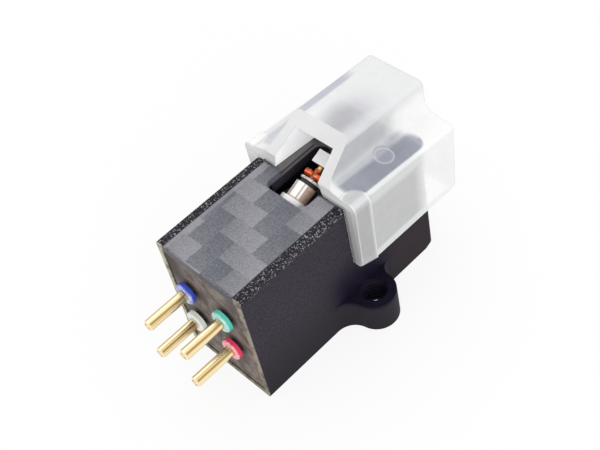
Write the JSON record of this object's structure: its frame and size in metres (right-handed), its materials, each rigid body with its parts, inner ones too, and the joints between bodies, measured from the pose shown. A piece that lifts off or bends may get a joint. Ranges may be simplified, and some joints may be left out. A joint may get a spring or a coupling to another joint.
{
  "type": "turntable stylus cartridge",
  "caption": "Box-shaped pickup cartridge with screw ears, rear contact pins, a woven-fibre plate round an open generator window, a sprung cantilever and a slide-on stylus guard.",
  "frame": {"origin": "midway between the two screw holes, on the flat mounting face", "axes": "+Z from the mounting face to the stylus side, +Y to the stylus end, pins towards -Y, +X to the right seen from the pins"},
  "size_m": [0.0168, 0.0295, 0.018],
  "materials": {
    "housing": "black crinkle",
    "carbon_plate": "satin woven fibre",
    "board": "matte",
    "guard": "frosted clear",
    "yoke": "black oxide",
    "steel": "bright",
    "plated_pole": "polished plate",
    "magnet": "plated",
    "front_pole": "white face, dark sides",
    "damper": "matte",
    "former": "natural",
    "coil": "enamelled copper",
    "pipe": "gold plate",
    "rod": "gold plate",
    "tip": "cut",
    "pin": "gold plate",
    "white_collar": "satin",
    "blue_collar": "satin",
    "red_collar": "satin",
    "green_collar": "satin"
  },
  "bodies": {
    "housing": {"blue_collar": "blue_collar", "blue_lead": "coil", "blue_pin": "pin", "front_pole": "front_pole", "green_collar": "green_collar", "green_lead": "coil", "green_pin": "pin", "housing": "housing", "locking_screw": "steel", "magnet": "magnet", "rear_pole": "plated_pole", "red_collar": "red_collar", "red_lead": "coil", "red_pin": "pin", "terminal_board": "board", "tie_wire": "steel", "underside_plate": "carbon_plate", "white_collar": "white_collar", "white_lead": "coil", "white_pin": "pin", "yoke": "yoke"},
    "damper": {"damper": "damper"},
    "moving_system": {"coil_former": "former", "left_coil": "coil", "right_coil": "coil", "joint_pipe": "pipe", "cantilever": "rod", "stylus_tip": "tip"},
    "stylus_guard": {"stylus_guard": "guard"}
  },
  "joints": [
    {"name": "lateral_swing", "type": "hinge", "parent": "housing", "child": "damper", "pos_m": [0, 0.00046, 0.0128], "axis": [0, -0.3907, 0.9205], "range_deg": [-2.5, 2.5], "stiffness_Nm_per_rad": 0.005},
    {"name": "vertical_swing", "type": "hinge", "parent": "damper", "child": "moving_system", "pos_m": [0, 0.00046, 0.0128], "axis": [1, 0, 0], "range_deg": [-2.5, 2.5], "stiffness_Nm_per_rad": 0.005},
    {"name": "guard_slide", "type": "slide", "parent": "housing", "child": "stylus_guard", "axis": [0, 1, 0], "range_m": [0, 0.014]}
  ]
}
